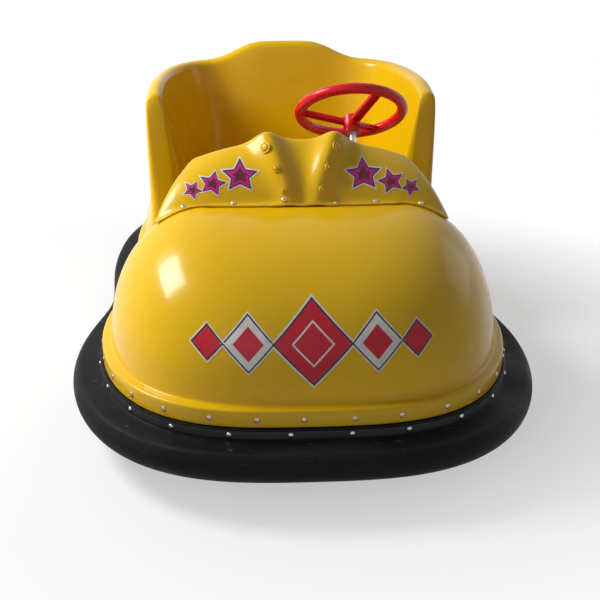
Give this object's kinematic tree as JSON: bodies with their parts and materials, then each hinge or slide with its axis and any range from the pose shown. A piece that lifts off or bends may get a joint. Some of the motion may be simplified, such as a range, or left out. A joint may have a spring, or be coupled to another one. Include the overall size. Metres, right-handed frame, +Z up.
{
  "type": "bumper car",
  "caption": "Fairground bumper car with a rubber ring, moulded snout and seat shell, a steered driving wheel and free rear wheels.",
  "frame": {"origin": "middle of the footprint, on the floor under the car", "axes": "-Y towards the front of the car, +X towards the driver's side, +Z up"},
  "size_m": [1.2396, 1.955, 0.8563],
  "materials": {
    "yellow_gelcoat": "glossy moulded glass fibre",
    "red_plastic": "glossy moulded plastic",
    "black_rubber": "matt moulded rubber",
    "tyre_rubber": "solid rubber tyre",
    "frame_steel": "black painted steel",
    "sheet_steel": "plain steel sheet",
    "bright_steel": "plated steel",
    "cast_alloy": "cast alloy",
    "motor_black": "black enamel",
    "battery_case": "dull moulded case"
  },
  "bodies": {
    "body": {"frame_rails": "frame_steel", "cross_members": "frame_steel", "perimeter_channel": "frame_steel", "bumper_ring": "black_rubber", "clamp_band": "black_rubber", "floor_sheet": "sheet_steel", "nose_panel": "yellow_gelcoat", "cowl": "yellow_gelcoat", "brow_studs": "yellow_gelcoat", "rear_shell": "yellow_gelcoat", "seat_bench": "yellow_gelcoat", "battery_block": "battery_case", "battery_tray": "frame_steel", "dash_panel": "yellow_gelcoat", "toe_board": "sheet_steel", "column_tube": "frame_steel", "pedal": "frame_steel", "pedal_bracket": "frame_steel", "bearing_plate": "frame_steel", "bearing_posts": "frame_steel", "rear_axle": "bright_steel", "axle_clamps": "frame_steel"},
    "steering": {"steering_wheel": "red_plastic", "steering_shaft": "bright_steel", "shaft_sprocket": "bright_steel"},
    "drive_unit": {"head_plate": "bright_steel", "fork": "frame_steel", "gear_case": "cast_alloy", "motor": "motor_black", "steer_sprocket": "bright_steel", "drive_axle": "bright_steel"},
    "drive_wheel": {"drive_tyre": "tyre_rubber", "drive_rim": "cast_alloy"},
    "rear_wheel_left": {"rear_tyre_left": "tyre_rubber", "rear_rim_left": "cast_alloy"},
    "rear_wheel_right": {"rear_tyre_right": "tyre_rubber", "rear_rim_right": "cast_alloy"}
  },
  "joints": [
    {"name": "drive_unit_turn", "type": "hinge", "parent": "body", "child": "drive_unit", "pos_m": [0, -0.5, 0.1], "axis": [0, 0, 1], "continuous": true},
    {"name": "steering_wheel_turn", "type": "hinge", "parent": "body", "child": "steering", "pos_m": [0.161, -0.05, 0.75], "axis": [0, 0.6157, 0.788], "continuous": true},
    {"name": "drive_wheel_spin", "type": "hinge", "parent": "drive_unit", "child": "drive_wheel", "pos_m": [0, -0.5, 0.1], "axis": [1, 0, 0], "continuous": true},
    {"name": "rear_wheel_left_spin", "type": "hinge", "parent": "body", "child": "rear_wheel_left", "pos_m": [0.365, 0.5, 0.075], "axis": [1, 0, 0], "continuous": true},
    {"name": "rear_wheel_right_spin", "type": "hinge", "parent": "body", "child": "rear_wheel_right", "pos_m": [-0.365, 0.5, 0.075], "axis": [1, 0, 0], "continuous": true}
  ],
  "couplings": [
    {"joint": "steering_wheel_turn", "follows": "drive_unit_turn", "ratio": 1}
  ]
}
